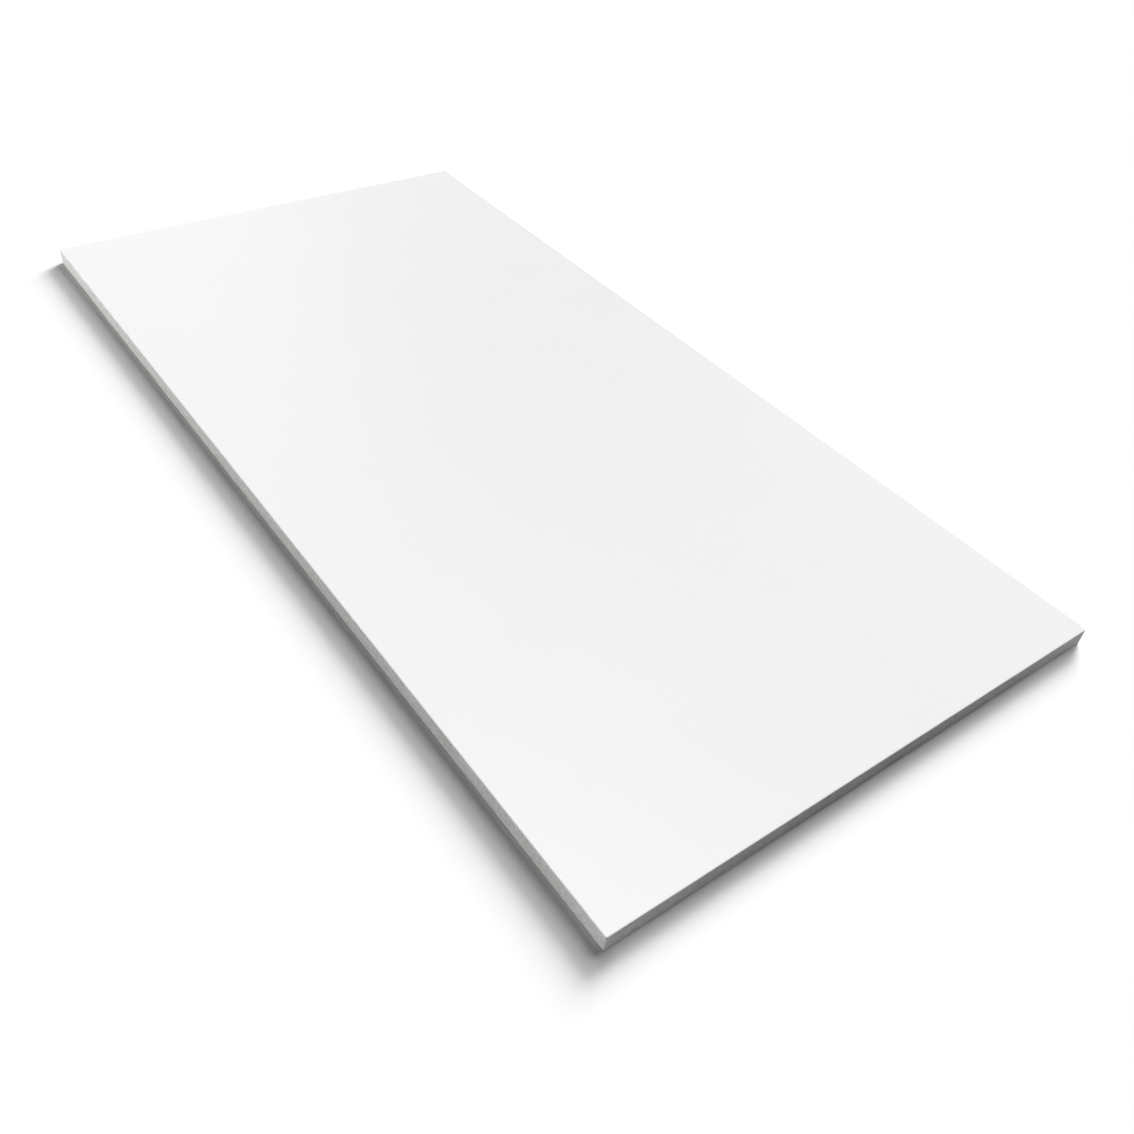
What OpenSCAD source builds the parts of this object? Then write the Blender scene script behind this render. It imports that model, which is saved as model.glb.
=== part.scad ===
// Glazed ceramic tile: one blank, pressed with a keyed back, glazed on its face,
// fired, and ground to size on its four edges.
//
// The origin is the middle of the back, on the plane that the key ribs bear on.
// +X runs along the length, +Y across the width, and +Z out of the glazed face.

/* [Tile] */
// Length of the tile, along X
tile_length = 600; // [200:1:900]
// Width of the tile, along Y
tile_width = 300; // [150:1:600]
// Thickness from the key ribs to the glazed face
tile_thickness = 9.5; // [6:0.5:14]

/* [Eased edges] */
// Radius of the arris around the glazed face
face_arris_r = 0.3; // [0.2:0.1:1.5]
// Radius of the arris around the back
back_arris_r = 0.5; // [0.2:0.1:1.2]
// Radius of the four upright corners
corner_r = 1; // [0.3:0.1:2]

/* [Back key] */
// Width of the plain border around the pockets
key_border = 15; // [8:1:30]
// Spacing aimed at from the middle of one rib to the next
key_pitch = 28; // [15:1:50]
// Width of a rib on the plane that it bears on
rib_width = 5; // [2:0.5:6]
// Depth of the pockets between the ribs
pocket_depth = 0.6; // [0.3:0.1:1]
// Draft of the pocket walls, in degrees from upright, which frees the press die
pocket_draft = 45; // [20:1:60]

/* [Hidden] */
$fn = 48;

// How far a cutting shape runs past the surface that it cuts
overrun = 2;

// Pockets along a field of this length: the even number nearest to the pitch
// aimed at, so that two ribs cross at the middle of the back
function pocket_count(field) = 2 * max(1, round(field / key_pitch / 2));

// What is left outside a quarter round of radius r, towards +X and +Y
module corner_waste(r) {
    difference() {
        square(r + overrun);
        circle(r);
    }
}

// Rectangle w across the origin and h up from it, with its two lower corners
// rounded by r_low and its two upper corners by r_high
module eased_rectangle(w, h, r_low, r_high) {
    difference() {
        translate([-w / 2, 0])
            square([w, h]);
        for (side = [-1, 1]) {
            translate([side * (w / 2 - r_low), r_low])
                scale([side, -1])
                    corner_waste(r_low);
            translate([side * (w / 2 - r_high), h - r_high])
                scale([side, 1])
                    corner_waste(r_high);
        }
    }
}

// Upright section through the tile, w across
module section(w) {
    eased_rectangle(w, tile_thickness, back_arris_r, face_arris_r);
}

// The tile without its key: what the plan and both of its sections share
module blank() {
    intersection() {
        translate([0, -tile_width / 2])
            linear_extrude(tile_thickness)
                eased_rectangle(tile_length, tile_width, corner_r, corner_r);
        rotate([90, 0, 0])
            linear_extrude(tile_width + overrun, center = true)
                section(tile_length);
        rotate([90, 0, 90])
            linear_extrude(tile_length + overrun, center = true)
                section(tile_width);
    }
}

// Section through a row of pockets that fills a field of this length, on the
// middle of the back: each narrows by its draft from its mouth to its floor
module pocket_row(field) {
    count = pocket_count(field);
    pitch = field / count;
    mouth = pitch - rib_width;
    bed = mouth - 2 * pocket_depth * tan(pocket_draft);
    for (i = [0 : count - 1])
        translate([pitch * (i - (count - 1) / 2), 0])
            polygon([
                [-mouth / 2, -overrun], [mouth / 2, -overrun],
                [mouth / 2, 0], [bed / 2, pocket_depth],
                [-bed / 2, pocket_depth], [-mouth / 2, 0]
            ]);
}

// The pockets of the key: where the rows along X and the rows along Y cross
module key_pockets() {
    intersection() {
        rotate([90, 0, 0])
            linear_extrude(tile_width, center = true)
                pocket_row(tile_length - 2 * key_border);
        rotate([90, 0, 90])
            linear_extrude(tile_length, center = true)
                pocket_row(tile_width - 2 * key_border);
    }
}

module tile() {
    color("whitesmoke")
        difference() {
            blank();
            key_pockets();
        }
}

tile();
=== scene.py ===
"""A white glazed ceramic tile, lying face up on a pale floor under soft studio light.

The tile is one fired piece. Its surface is worked out here as a lattice over the block that the
CAD solid gives: the flat face, the rounded arrises, the ground edges and the keyed back. One
material dresses it: glaze on the face and over the arris, ground body on the edges, and bare
body with kiln wash on the back. Everything is in metres, in the frame of the CAD model.
"""

import math

import bpy
import numpy as np
from mathutils import Matrix, Vector


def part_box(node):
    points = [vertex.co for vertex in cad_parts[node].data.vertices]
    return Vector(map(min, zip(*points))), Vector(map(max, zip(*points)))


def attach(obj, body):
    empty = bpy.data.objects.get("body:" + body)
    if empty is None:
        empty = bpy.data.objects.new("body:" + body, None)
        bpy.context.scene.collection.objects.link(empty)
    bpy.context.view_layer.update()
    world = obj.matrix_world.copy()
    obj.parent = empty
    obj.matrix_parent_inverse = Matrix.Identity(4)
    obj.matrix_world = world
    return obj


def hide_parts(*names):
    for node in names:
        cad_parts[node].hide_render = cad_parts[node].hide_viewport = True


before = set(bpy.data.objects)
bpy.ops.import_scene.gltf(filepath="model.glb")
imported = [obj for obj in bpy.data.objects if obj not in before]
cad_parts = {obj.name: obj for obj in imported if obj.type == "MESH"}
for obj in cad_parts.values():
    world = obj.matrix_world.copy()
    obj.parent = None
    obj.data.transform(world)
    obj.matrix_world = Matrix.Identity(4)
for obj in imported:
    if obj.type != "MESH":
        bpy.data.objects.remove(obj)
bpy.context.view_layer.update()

MM = 0.001

# The tile's own sizes: the block from the CAD node, the small radii and the key as modelled there
LOW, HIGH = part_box("tile")
LENGTH, WIDTH, THICKNESS = HIGH - LOW
FACE_ARRIS_R = 0.3 * MM
BACK_ARRIS_R = 0.5 * MM
CORNER_R = 1.0 * MM
KEY_BORDER = 15 * MM
KEY_PITCH = 28 * MM
RIB_WIDTH = 5 * MM
POCKET_DEPTH = 0.6 * MM
POCKET_DRAFT = math.radians(45)

# How finely each stretch of the surface is cut
WALL_STEPS = 3
BORDER_STEPS = 3
CORNER_STEPS = 3
ARRIS_STEPS = 6
GUARD = 0.1 * MM  # how close a line lies beside a bend, so that the flat beyond it is shaded flat


# ---------------------------------------------------------------- shape of the tile


def pocket_row(span):
    """(number of pockets, pitch, mouth) of the key along a side of this length.

    The field inside the border holds the even number of pockets nearest to the pitch aimed at,
    so a rib crosses the middle, and a pocket's mouth is the pitch less one rib.
    """
    field = span - 2 * KEY_BORDER
    count = 2 * max(1, round(field / KEY_PITCH / 2))
    pitch = field / count
    return count, pitch, pitch - RIB_WIDTH


def lattice_lines(span):
    """Places of the lattice lines across a side of this length.

    Every pocket has a line along its middle, lines up both walls, and a guard line beside each
    wall on the bed and on the rib. The border is cut into even steps. Then the corner radius
    times the tangent of each step of an eighth of a turn gives the lines that run out to the
    edge, so that the corner's arc is cut evenly.
    """
    count, pitch, mouth = pocket_row(span)
    bed = mouth - 2 * POCKET_DEPTH * math.tan(POCKET_DRAFT)
    wall = np.linspace(bed / 2, mouth / 2, WALL_STEPS + 1)
    half = np.array([0, bed / 2 - GUARD, *wall, mouth / 2 + GUARD])
    middles = pitch * (np.arange(count) - (count - 1) / 2)
    pockets = (middles[:, None] + np.concatenate([-half[:0:-1], half])).ravel()
    straight_end = span / 2 - CORNER_R
    border = np.linspace(pockets[-1], straight_end, BORDER_STEPS + 1)[1:]
    turn = straight_end + CORNER_R * np.tan(np.linspace(0, math.pi / 4, CORNER_STEPS + 1)[1:])
    return np.concatenate([-turn[::-1], -border[::-1], pockets, border, turn])


def eased(t):
    """Goes from 0 to 1 with t, level at both ends: 3t² - 2t³, with t held between 0 and 1."""
    t = np.clip(t, 0, 1)
    return t * t * (3 - 2 * t)


def pocket_wave(place, span):
    """1 over the beds of a row of pockets and 0 over the ribs and the border.

    The distance from the nearest pocket's middle is that of the place, modulo the pitch, from
    half the pitch. Between the mouth and the bed the wave rises by the eased step.
    """
    count, pitch, mouth = pocket_row(span)
    off_middle = np.abs(np.mod(place, pitch) - pitch / 2)
    wall = POCKET_DEPTH * math.tan(POCKET_DRAFT)
    in_field = np.abs(place) < count * pitch / 2
    return eased((mouth / 2 - off_middle) / wall) * in_field


def plan(x, y, inset):
    """Takes places on the square-cornered lattice to the tile's outline, drawn in by inset.

    The part of a place beyond the inner rectangle, which is the outline less the corner radius,
    is turned from a square into a disc: its direction is kept, and its length becomes its
    larger coordinate, scaled by what the inset leaves of the corner radius.
    """
    inner_x = np.clip(x, CORNER_R - LENGTH / 2, LENGTH / 2 - CORNER_R)
    inner_y = np.clip(y, CORNER_R - WIDTH / 2, WIDTH / 2 - CORNER_R)
    over_x, over_y = x - inner_x, y - inner_y
    reach = np.maximum(np.abs(over_x), np.abs(over_y))
    length = np.hypot(over_x, over_y)
    to_disc = np.divide(reach, length, out=np.ones_like(length), where=length > 0)
    scale = to_disc * (CORNER_R - inset) / CORNER_R
    return inner_x + over_x * scale, inner_y + over_y * scale


def rim_profile():
    """(insets, heights) of the rim: round the face's arris, down the side, round the back arris.

    Each arris is a quarter circle cut into even angles. The side has a line close to each
    arris, which keeps its own shading flat, and one halfway up.
    """
    turn = np.linspace(0, math.pi / 2, ARRIS_STEPS + 1)
    side = np.array([THICKNESS - FACE_ARRIS_R - GUARD, THICKNESS / 2, BACK_ARRIS_R + GUARD])
    insets = np.concatenate([
        FACE_ARRIS_R * (1 - np.sin(turn)), np.zeros(len(side)), BACK_ARRIS_R * (1 - np.cos(turn))
    ])
    heights = np.concatenate([
        THICKNESS - FACE_ARRIS_R * (1 - np.cos(turn)), side, BACK_ARRIS_R * (1 - np.sin(turn))
    ])
    return insets, heights


def outer_loop(index):
    """The outer entries of this grid, anticlockwise from above, from its lowest corner."""
    return np.concatenate([index[:-1, 0], index[-1, :-1], index[:0:-1, -1], index[0, :0:-1]])


def tile_mesh():
    """(points, quads) of one closed surface: face and back over one lattice, joined by the rim.

    The face is the plan drawn in by its arris. The back is the plan drawn in by its own arris,
    raised in each pocket by the depth times the waves along and across. The rim carries the
    profile round the lattice's outer loop, and shares its first and last rings with the sheets.
    """
    lines_x, lines_y = lattice_lines(LENGTH), lattice_lines(WIDTH)
    x, y = (a.ravel() for a in np.meshgrid(lines_x, lines_y, indexing="ij"))
    index = np.arange(len(x)).reshape(len(lines_x), len(lines_y))
    loop = outer_loop(index)

    face_x, face_y = plan(x, y, FACE_ARRIS_R)
    face = np.stack([face_x, face_y, np.full(len(x), THICKNESS)], axis=1)
    back_x, back_y = plan(x, y, BACK_ARRIS_R)
    relief = POCKET_DEPTH * pocket_wave(x, LENGTH) * pocket_wave(y, WIDTH)
    back = np.stack([back_x, back_y, relief], axis=1)
    insets, heights = rim_profile()
    rim_x, rim_y = plan(x[loop], y[loop], insets[1:-1, None])
    rim_z = np.broadcast_to(heights[1:-1, None], rim_x.shape)
    rim = np.stack([rim_x, rim_y, rim_z], axis=2).reshape(-1, 3)
    points = np.concatenate([face, back, rim]) + np.array([*(LOW + HIGH).xy / 2, LOW.z])

    first_back, first_rim = len(face), len(face) + len(back)
    cells = np.stack([index[:-1, :-1], index[1:, :-1], index[1:, 1:], index[:-1, 1:]], axis=-1)
    cells = cells.reshape(-1, 4)
    rim_rings = first_rim + np.arange(len(rim)).reshape(-1, len(loop))
    rings = np.concatenate([loop[None], rim_rings, first_back + loop[None]])
    after = np.roll(rings, -1, axis=1)
    band = np.stack([rings[:-1], rings[1:], after[1:], after[:-1]], axis=-1).reshape(-1, 4)
    return points, np.concatenate([cells, first_back + cells[:, ::-1], band])


def piece_from(name, points, quads, material):
    """A smooth shaded object at the origin, unturned and unscaled, with its place in its mesh."""
    mesh = bpy.data.meshes.new(name)
    mesh.from_pydata(points.tolist(), [], quads.tolist())
    mesh.polygons.foreach_set("use_smooth", np.ones(len(quads), bool))
    mesh.update()
    mesh.materials.append(material)
    piece = bpy.data.objects.new(name, mesh)
    bpy.context.collection.objects.link(piece)
    return piece


# ---------------------------------------------------------------- materials


class Wire:
    """A socket whose value flows on. Arithmetic on it adds Math nodes, add() any other node."""

    def __init__(self, tree, socket):
        self.tree = tree
        self.socket = socket

    def add(self, kind, settings=None, sockets=None, out=0):
        """A node of this kind: its settings first, then each socket's value or link by its key.

        The Wire that comes back carries the output of this name or number.
        """
        node = self.tree.nodes.new(kind)
        for name, value in (settings or {}).items():
            setattr(node, name, value)
        for key, value in (sockets or {}).items():
            if isinstance(value, Wire):
                self.tree.links.new(value.socket, node.inputs[key])
            else:
                node.inputs[key].default_value = value
        return Wire(self.tree, node.outputs[out])

    def show(self, output):
        """Makes this the surface that the output node shows."""
        self.tree.links.new(self.socket, output.inputs["Surface"])

    def maths(self, operation, *values):
        return self.add("ShaderNodeMath", {"operation": operation}, dict(enumerate(values)))

    def __add__(self, other):
        return self.maths("ADD", self, other)

    def __radd__(self, other):
        return self.maths("ADD", other, self)

    def __sub__(self, other):
        return self.maths("SUBTRACT", self, other)

    def __rsub__(self, other):
        return self.maths("SUBTRACT", other, self)

    def __mul__(self, other):
        return self.maths("MULTIPLY", self, other)

    def __rmul__(self, other):
        return self.maths("MULTIPLY", other, self)

    def __abs__(self):
        return self.maths("ABSOLUTE", self)

    def least(self, other):
        return self.maths("MINIMUM", self, other)

    def most(self, other):
        return self.maths("MAXIMUM", self, other)

    def step(self, start, end):
        """0 up to start, 1 from end, and eased between them."""
        settings = {"interpolation_type": "SMOOTHSTEP"}
        sockets = {"Value": self, "From Min": start, "From Max": end}
        return self.add("ShaderNodeMapRange", settings, sockets)

    def noise(self, size, detail=2.0, roughness=0.5):
        """Smooth noise about 0.5 over this place, with marks about this many metres across."""
        sockets = {"Vector": self, "Scale": 1 / size, "Detail": detail, "Roughness": roughness}
        return self.add("ShaderNodeTexNoise", {"noise_dimensions": "3D"}, sockets)

    def blend(self, start, end):
        """The colour start where this is 0 and end where it is 1."""
        settings = {"data_type": "RGBA", "clamp_factor": True}
        sockets = {0: self, 6: colour(start), 7: colour(end)}
        return self.add("ShaderNodeMix", settings, sockets, out=2)


def colour(value):
    """A colour as a socket takes it: a Wire as it is, three numbers with a fourth of 1."""
    return value if isinstance(value, Wire) else (*value, 1)


def fresh_nodes(owner, output_kind):
    """(a Wire to build from, the output node) in the emptied tree of this material or world."""
    owner.use_nodes = True
    owner.node_tree.nodes.clear()
    return Wire(owner.node_tree, None), owner.node_tree.nodes.new(output_kind)


# Colours of the finishes
GLAZE_WHITE = (0.772, 0.772, 0.77)
GLAZE_MILKY = (0.767, 0.767, 0.766)
BODY_PALE = (0.60, 0.596, 0.586)
BODY_GREY = (0.405, 0.402, 0.392)
BODY_DARK_GRAIN = (0.31, 0.303, 0.29)
BISQUE = (0.64, 0.61, 0.56)
# Kiln wash on the back; the same pale colour is painted along the foot of the edges as a painted
# highlight
KILN_WASH_AND_FOOT_HIGHLIGHT = (0.78, 0.77, 0.75)

# Heights between which one finish gives way to the next
GLAZE_DEPTH = 0.45 * MM  # how thick the glaze is where the ground edge cuts it
GLAZE_BLUR = 0.05 * MM
GLAZE_FOOT = (THICKNESS - GLAZE_DEPTH - GLAZE_BLUR, THICKNESS - GLAZE_DEPTH + GLAZE_BLUR)
BACK_TOP = (1 * MM, 2 * MM)
# Up to this height the foot of the ground edges is painted pale: a painted highlight along the
# lower arris
PAINTED_HIGHLIGHT_FOOT_TOP = (0.4 * MM, 0.8 * MM)
RIB_SKIN_TOP = (0.1 * MM, 0.4 * MM)
RAGGED_REACH = 0.12 * MM  # how far the glaze's line and the painted highlight at the foot wander up and down

# Distances from the outline between which the back's finish starts
BACK_START = (0.1 * MM, 0.5 * MM)

# How wide the marks are
RAGGED_WIDTH = 3 * MM
CLOUD_WIDTH = 60 * MM
SATIN_WIDTH = 25 * MM
PEEL_WIDTH = 2.4 * MM
GRAIN_WIDTH = 2.2 * MM
DARK_GRAIN_WIDTH = 0.7 * MM
LINE_WIDTH = 0.5 * MM
LINE_DRAW = 0.02  # a ground line's width as a share of its length
WASH_WIDTH = 14 * MM
SPECK_WIDTH = 1.1 * MM

# Which stretch of its noise each mark fades in over
CLOUD_BAND = (0.3, 0.7)
GROUND_BAND = (0.42, 0.58)
DARK_GRAIN_BAND = (0.66, 0.74)
PALE_BISQUE_BAND = (0.3, 0.7)
WASH_BAND = (0.42, 0.6)
SPECK_BAND = (0.64, 0.7)
GRAIN_SHARE = 0.6  # of the ground edge's tone, the rest comes from its lines

# How far a mark's colour covers what lies under it
DARK_GRAIN_COVER = 0.5
# how far the painted highlight at the foot of the edges covers the ground body
FOOT_HIGHLIGHT_COVER = 0.6
PALE_BISQUE_COVER = 0.35
SPECK_COVER = 0.4
WASH_COVER_IN_POCKETS = 0.25
WASH_COVER_ON_RIBS = 0.8

# How rough the finishes are, and what their marks add
SATIN_ROUGHNESS = 0.36
SATIN_SPREAD = 0.05
GROUND_ROUGHNESS = 0.68
BACK_ROUGHNESS = 0.78
GRAIN_SPREAD = 0.12

# How high the marks stand
PEEL_HEIGHT = 0.006 * MM
LINE_HEIGHT = 0.02 * MM
GROUND_GRAIN_HEIGHT = 0.015 * MM
BACK_GRAIN_HEIGHT = 0.03 * MM
WASH_HEIGHT = 0.04 * MM

GLAZE_IOR = 1.5


def glaze_finish(place):
    """(colour, roughness, relief) of satin white glaze: a faint milky cloud, fine orange peel."""
    cloud = place.noise(CLOUD_WIDTH, detail=3).step(*CLOUD_BAND)
    satin = SATIN_ROUGHNESS + SATIN_SPREAD * place.noise(SATIN_WIDTH, detail=3)
    peel = place.noise(PEEL_WIDTH, detail=2) * PEEL_HEIGHT
    return cloud.blend(GLAZE_WHITE, GLAZE_MILKY), satin, peel


def ground_finish(place, along, height, foot, grain):
    """(colour, roughness, relief) of the ground edges.

    Fine lines run along the edge, over the body's grain, and the foot is painted pale in the
    colour of kiln wash, a painted highlight along the lower arris. The lines are noise over the
    way along the edge, drawn out, and the height.
    """
    drawn = place.add("ShaderNodeCombineXYZ", sockets={0: along * LINE_DRAW, 1: height, 2: 0.0})
    lines = drawn.noise(LINE_WIDTH, detail=3, roughness=0.7)
    dark_grain = place.noise(DARK_GRAIN_WIDTH, detail=1).step(*DARK_GRAIN_BAND)
    tone = (grain * GRAIN_SHARE + lines * (1 - GRAIN_SHARE)).step(*GROUND_BAND)
    tone = tone.blend(BODY_GREY, BODY_PALE)
    tone = (dark_grain * DARK_GRAIN_COVER).blend(tone, BODY_DARK_GRAIN)
    # painted highlight: the foot of the edge is turned to the pale colour of kiln wash
    tone = (foot * FOOT_HIGHLIGHT_COVER).blend(tone, KILN_WASH_AND_FOOT_HIGHLIGHT)
    relief = lines * LINE_HEIGHT + grain * GROUND_GRAIN_HEIGHT
    return tone, GROUND_ROUGHNESS + GRAIN_SPREAD * grain, relief


def back_finish(place, height, grain):
    """(colour, roughness, relief) of bisque in the pockets, kiln wash in patches on the ribs."""
    on_ribs = 1 - height.step(*RIB_SKIN_TOP)
    patches = place.noise(WASH_WIDTH, detail=5, roughness=0.6).step(*WASH_BAND)
    specks = place.noise(SPECK_WIDTH, detail=2).step(*SPECK_BAND)
    tone = (grain.step(*PALE_BISQUE_BAND) * PALE_BISQUE_COVER).blend(BISQUE, BODY_PALE)
    tone = (specks * SPECK_COVER).blend(tone, BODY_DARK_GRAIN)
    cover = WASH_COVER_IN_POCKETS + (WASH_COVER_ON_RIBS - WASH_COVER_IN_POCKETS) * on_ribs
    tone = (patches * cover).blend(tone, KILN_WASH_AND_FOOT_HIGHLIGHT)
    relief = grain * BACK_GRAIN_HEIGHT + patches * WASH_HEIGHT
    return tone, BACK_ROUGHNESS + GRAIN_SPREAD * grain, relief


def lay_over(mask, under, over):
    """(colour, roughness, relief) of a finish over another, which shows where the mask is 0."""
    bare = 1 - mask
    roughness, relief = (mask * o + bare * u for u, o in zip(under[1:], over[1:], strict=True))
    return mask.blend(under[0], over[0]), roughness, relief


def tile_material():
    """Glaze over the face and its arris, ground body on the edges, bare body on the back.

    The glaze ends at a height that wanders a little, and so does the pale foot, a painted
    highlight along the lower arris of the edges. The back's finish starts inside the outline,
    below the side.
    """
    material = bpy.data.materials.new("glazed_ceramic")
    start, output = fresh_nodes(material, "ShaderNodeOutputMaterial")
    place = start.add("ShaderNodeTexCoord", out="Object")
    x, y, z = (place.add("ShaderNodeSeparateXYZ", sockets={0: place}, out=k) for k in range(3))
    height = z - LOW.z
    to_edge = (LENGTH / 2 - abs(x)).least(WIDTH / 2 - abs(y))

    cut = height + (place.noise(RAGGED_WIDTH) - 0.5) * RAGGED_REACH
    glazed = cut.step(*GLAZE_FOOT)
    # the foot of the edges, which is painted pale as a painted highlight along the lower arris
    foot = 1 - cut.step(*PAINTED_HIGHLIGHT_FOOT_TOP)
    back = to_edge.step(*BACK_START) * (1 - height.step(*BACK_TOP))

    grain = place.noise(GRAIN_WIDTH, detail=4, roughness=1.0)
    ground = ground_finish(place, x + y, height, foot, grain)
    body = lay_over(back, ground, back_finish(place, height, grain))
    base, roughness, relief = lay_over(glazed, body, glaze_finish(place))
    normal = place.add("ShaderNodeBump", sockets={
        "Strength": 1.0, "Distance": 1.0, "Height": relief,
    })
    surface = place.add("ShaderNodeBsdfPrincipled", sockets={
        "Base Color": base, "Roughness": roughness, "Normal": normal, "IOR": GLAZE_IOR,
    })
    surface.show(output)
    return material


# ---------------------------------------------------------------- stage, light and camera

# What a level white floor gets from each of the two keys and from the fill, where 1 is white
KEY_LEVEL = 0.50
SOFT_FILL = 0.01
KEY_DISTANCE = 3.0

# The floor: its half side, how it looks, and how it looks to the light that it throws back
FLOOR_HALF_SIDE = 8.0
FLOOR_DROP = 0.05 * MM  # how far it lies below the back, so that the two aren't in one plane
FLOOR_SEEN_WHITE = (1.0, 1.0, 1.0)
FLOOR_UNSEEN_GREY = (0.35, 0.35, 0.35)

# The camera: where on the face it aims, its angles in degrees, its lens in millimetres
CAMERA_AIM = Vector((0.1306, -0.0439, THICKNESS))
CAMERA_AZIMUTH = 49.56
CAMERA_ELEVATION = 41.92
CAMERA_DISTANCE = 0.5514
CAMERA_ROLL = 6.383
CAMERA_LENS = 35.42
CAMERA_SENSOR = 36
CAMERA_CLIP_START = 0.01


def seen_white(start):
    """1 for rays that come from the camera, off gloss or through glass, and 0 for all others."""
    camera, glossy, transmission = (
        start.add("ShaderNodeLightPath", out=f"Is {ray} Ray")
        for ray in ("Camera", "Glossy", "Transmission")
    )
    return camera.most(glossy.most(transmission))


def floor_material():
    """White matt paper where it is seen.

    For the light that it throws back on the tile it is grey, so that the edges keep their shade.
    """
    material = bpy.data.materials.new("floor_paper")
    start, output = fresh_nodes(material, "ShaderNodeOutputMaterial")
    surface = start.add("ShaderNodeBsdfPrincipled", sockets={
        "Base Color": seen_white(start).blend(FLOOR_UNSEEN_GREY, FLOOR_SEEN_WHITE),
        "Roughness": 1.0, "Specular IOR Level": 0.0,
    })
    surface.show(output)
    return material


def lay_floor():
    corners = np.array([(-1, -1), (1, -1), (1, 1), (-1, 1)]) * FLOOR_HALF_SIDE
    points = np.column_stack([corners, np.full(4, LOW.z - FLOOR_DROP)])
    floor = piece_from("floor", points, np.arange(4)[None], floor_material())


def white_surroundings():
    """A white backdrop where it is seen, and a soft even fill for the light that it gives."""
    world = bpy.data.worlds.new("white_surroundings")
    bpy.context.scene.world = world
    world.cycles.sampling_method = "NONE"
    start, output = fresh_nodes(world, "ShaderNodeOutputWorld")
    strength = SOFT_FILL + seen_white(start) * (1 - SOFT_FILL)
    light = start.add("ShaderNodeBackground", sockets={
        "Color": (1, 1, 1, 1), "Strength": strength,
    })
    light.show(output)


def towards(azimuth, elevation):
    """Unit vector at this azimuth, in degrees from -Y towards +X, and this elevation."""
    a, e = math.radians(azimuth), math.radians(elevation)
    return Vector((math.sin(a) * math.cos(e), -math.cos(a) * math.cos(e), math.sin(e)))


def place_light(name, data, place, aim):
    """A lamp at this place, turned to this aim, that the camera doesn't see."""
    lamp = bpy.data.objects.new(name, data)
    bpy.context.collection.objects.link(lamp)
    lamp.location = place
    lamp.rotation_euler = (Vector(aim) - Vector(place)).to_track_quat("-Z", "Y").to_euler()
    lamp.visible_camera = False
    return lamp


def place_area(name, shape, place, aim, size, power, lit):
    """An area lamp, of this width and height, that lights only the objects of this collection."""
    data = bpy.data.lights.new(name, "AREA")
    data.shape = shape
    data.size, data.size_y = size
    data.energy = power
    lamp = place_light(name, data, place, aim)
    lamp.light_linking.receiver_collection = lit
    return lamp


def place_key(name, azimuth, elevation, spread):
    """A far, broad lamp, as wide as its spread in degrees, that doesn't show in gloss.

    Its strength is pi times its level on the floor, over the sine of its elevation.
    """
    data = bpy.data.lights.new(name, "SUN")
    data.energy = KEY_LEVEL * math.pi / math.sin(math.radians(elevation))
    data.angle = math.radians(spread)
    middle = Vector((0, 0, THICKNESS))
    lamp = place_light(name, data, middle + towards(azimuth, elevation) * KEY_DISTANCE, middle)
    lamp.visible_glossy = False


def light_stage(tile):
    """Two broad keys from behind throw a soft shadow forward. Low strips in front light the edges.

    All but the keys are flagged off the floor, which keeps the shadow deep at the foot of the
    edges. A soft box on the left lights the face a little more at that end. A large card overhead
    shows only in the glaze's satin gloss, which it brightens towards the near long edge.
    """
    place_key("key_low", azimuth=208, elevation=26, spread=26)
    place_key("key_high", azimuth=200, elevation=50, spread=50)

    lit = bpy.data.collections.new("lit_alone")
    lit.objects.link(tile)
    place_area("left_box", "DISK", (-0.9, 0.1, 0.45), (-0.15, 0, 0), (0.5, 0.5), 0.45, lit)
    card = place_area(
        "gloss_card", "RECTANGLE", (-0.35, -0.24, 0.81), (-0.35, -0.24, 0), (1.5, 1.3), 9.0, lit
    )
    card.visible_diffuse = False

    # Each strip's name, place, aim, width and height, and power
    strips = (
        ("front_strip", (-0.5, -1.2, 0.04), (-0.1, -0.15, 0.005), (0.6, 0.06), 7.0),
        ("left_strip", (-0.8, -0.6, 0.04), (-0.25, -0.15, 0.005), (0.3, 0.06), 4.2),
        ("near_corner_strip", (0.4, -0.27, 0.03), (0.3, -0.15, 0.005), (0.08, 0.03), 0.09),
        ("right_strip", (0.9, 0.0, 0.04), (0.3, 0.0, 0.005), (0.4, 0.05), 0.10),
        ("right_corner_strip", (0.4, 0.18, 0.03), (0.3, 0.15, 0.005), (0.08, 0.03), 0.022),
    )
    for name, place, aim, size, power in strips:
        strip = place_area(name, "RECTANGLE", place, aim, size, power, lit)
        strip.visible_glossy = False


def place_camera():
    """The camera: its place round the point that it aims at on the face, its lens and its roll."""
    back = towards(CAMERA_AZIMUTH, CAMERA_ELEVATION)
    data = bpy.data.cameras.new("camera")
    data.lens = CAMERA_LENS
    data.sensor_width = CAMERA_SENSOR
    data.clip_start = CAMERA_CLIP_START
    camera = bpy.data.objects.new("camera", data)
    bpy.context.collection.objects.link(camera)
    place = Matrix.Translation(CAMERA_AIM + back * CAMERA_DISTANCE)
    level = (-back).to_track_quat("-Z", "Y").to_matrix().to_4x4()
    camera.matrix_world = place @ level @ Matrix.Rotation(math.radians(CAMERA_ROLL), 4, "Z")
    bpy.context.scene.camera = camera


# ---------------------------------------------------------------- making it

bpy.context.scene.view_settings.view_transform = "Standard"
place_camera()
lay_floor()
white_surroundings()

tile = piece_from("glazed_tile", *tile_mesh(), tile_material())
light_stage(tile)
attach(tile, "root")
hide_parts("tile")
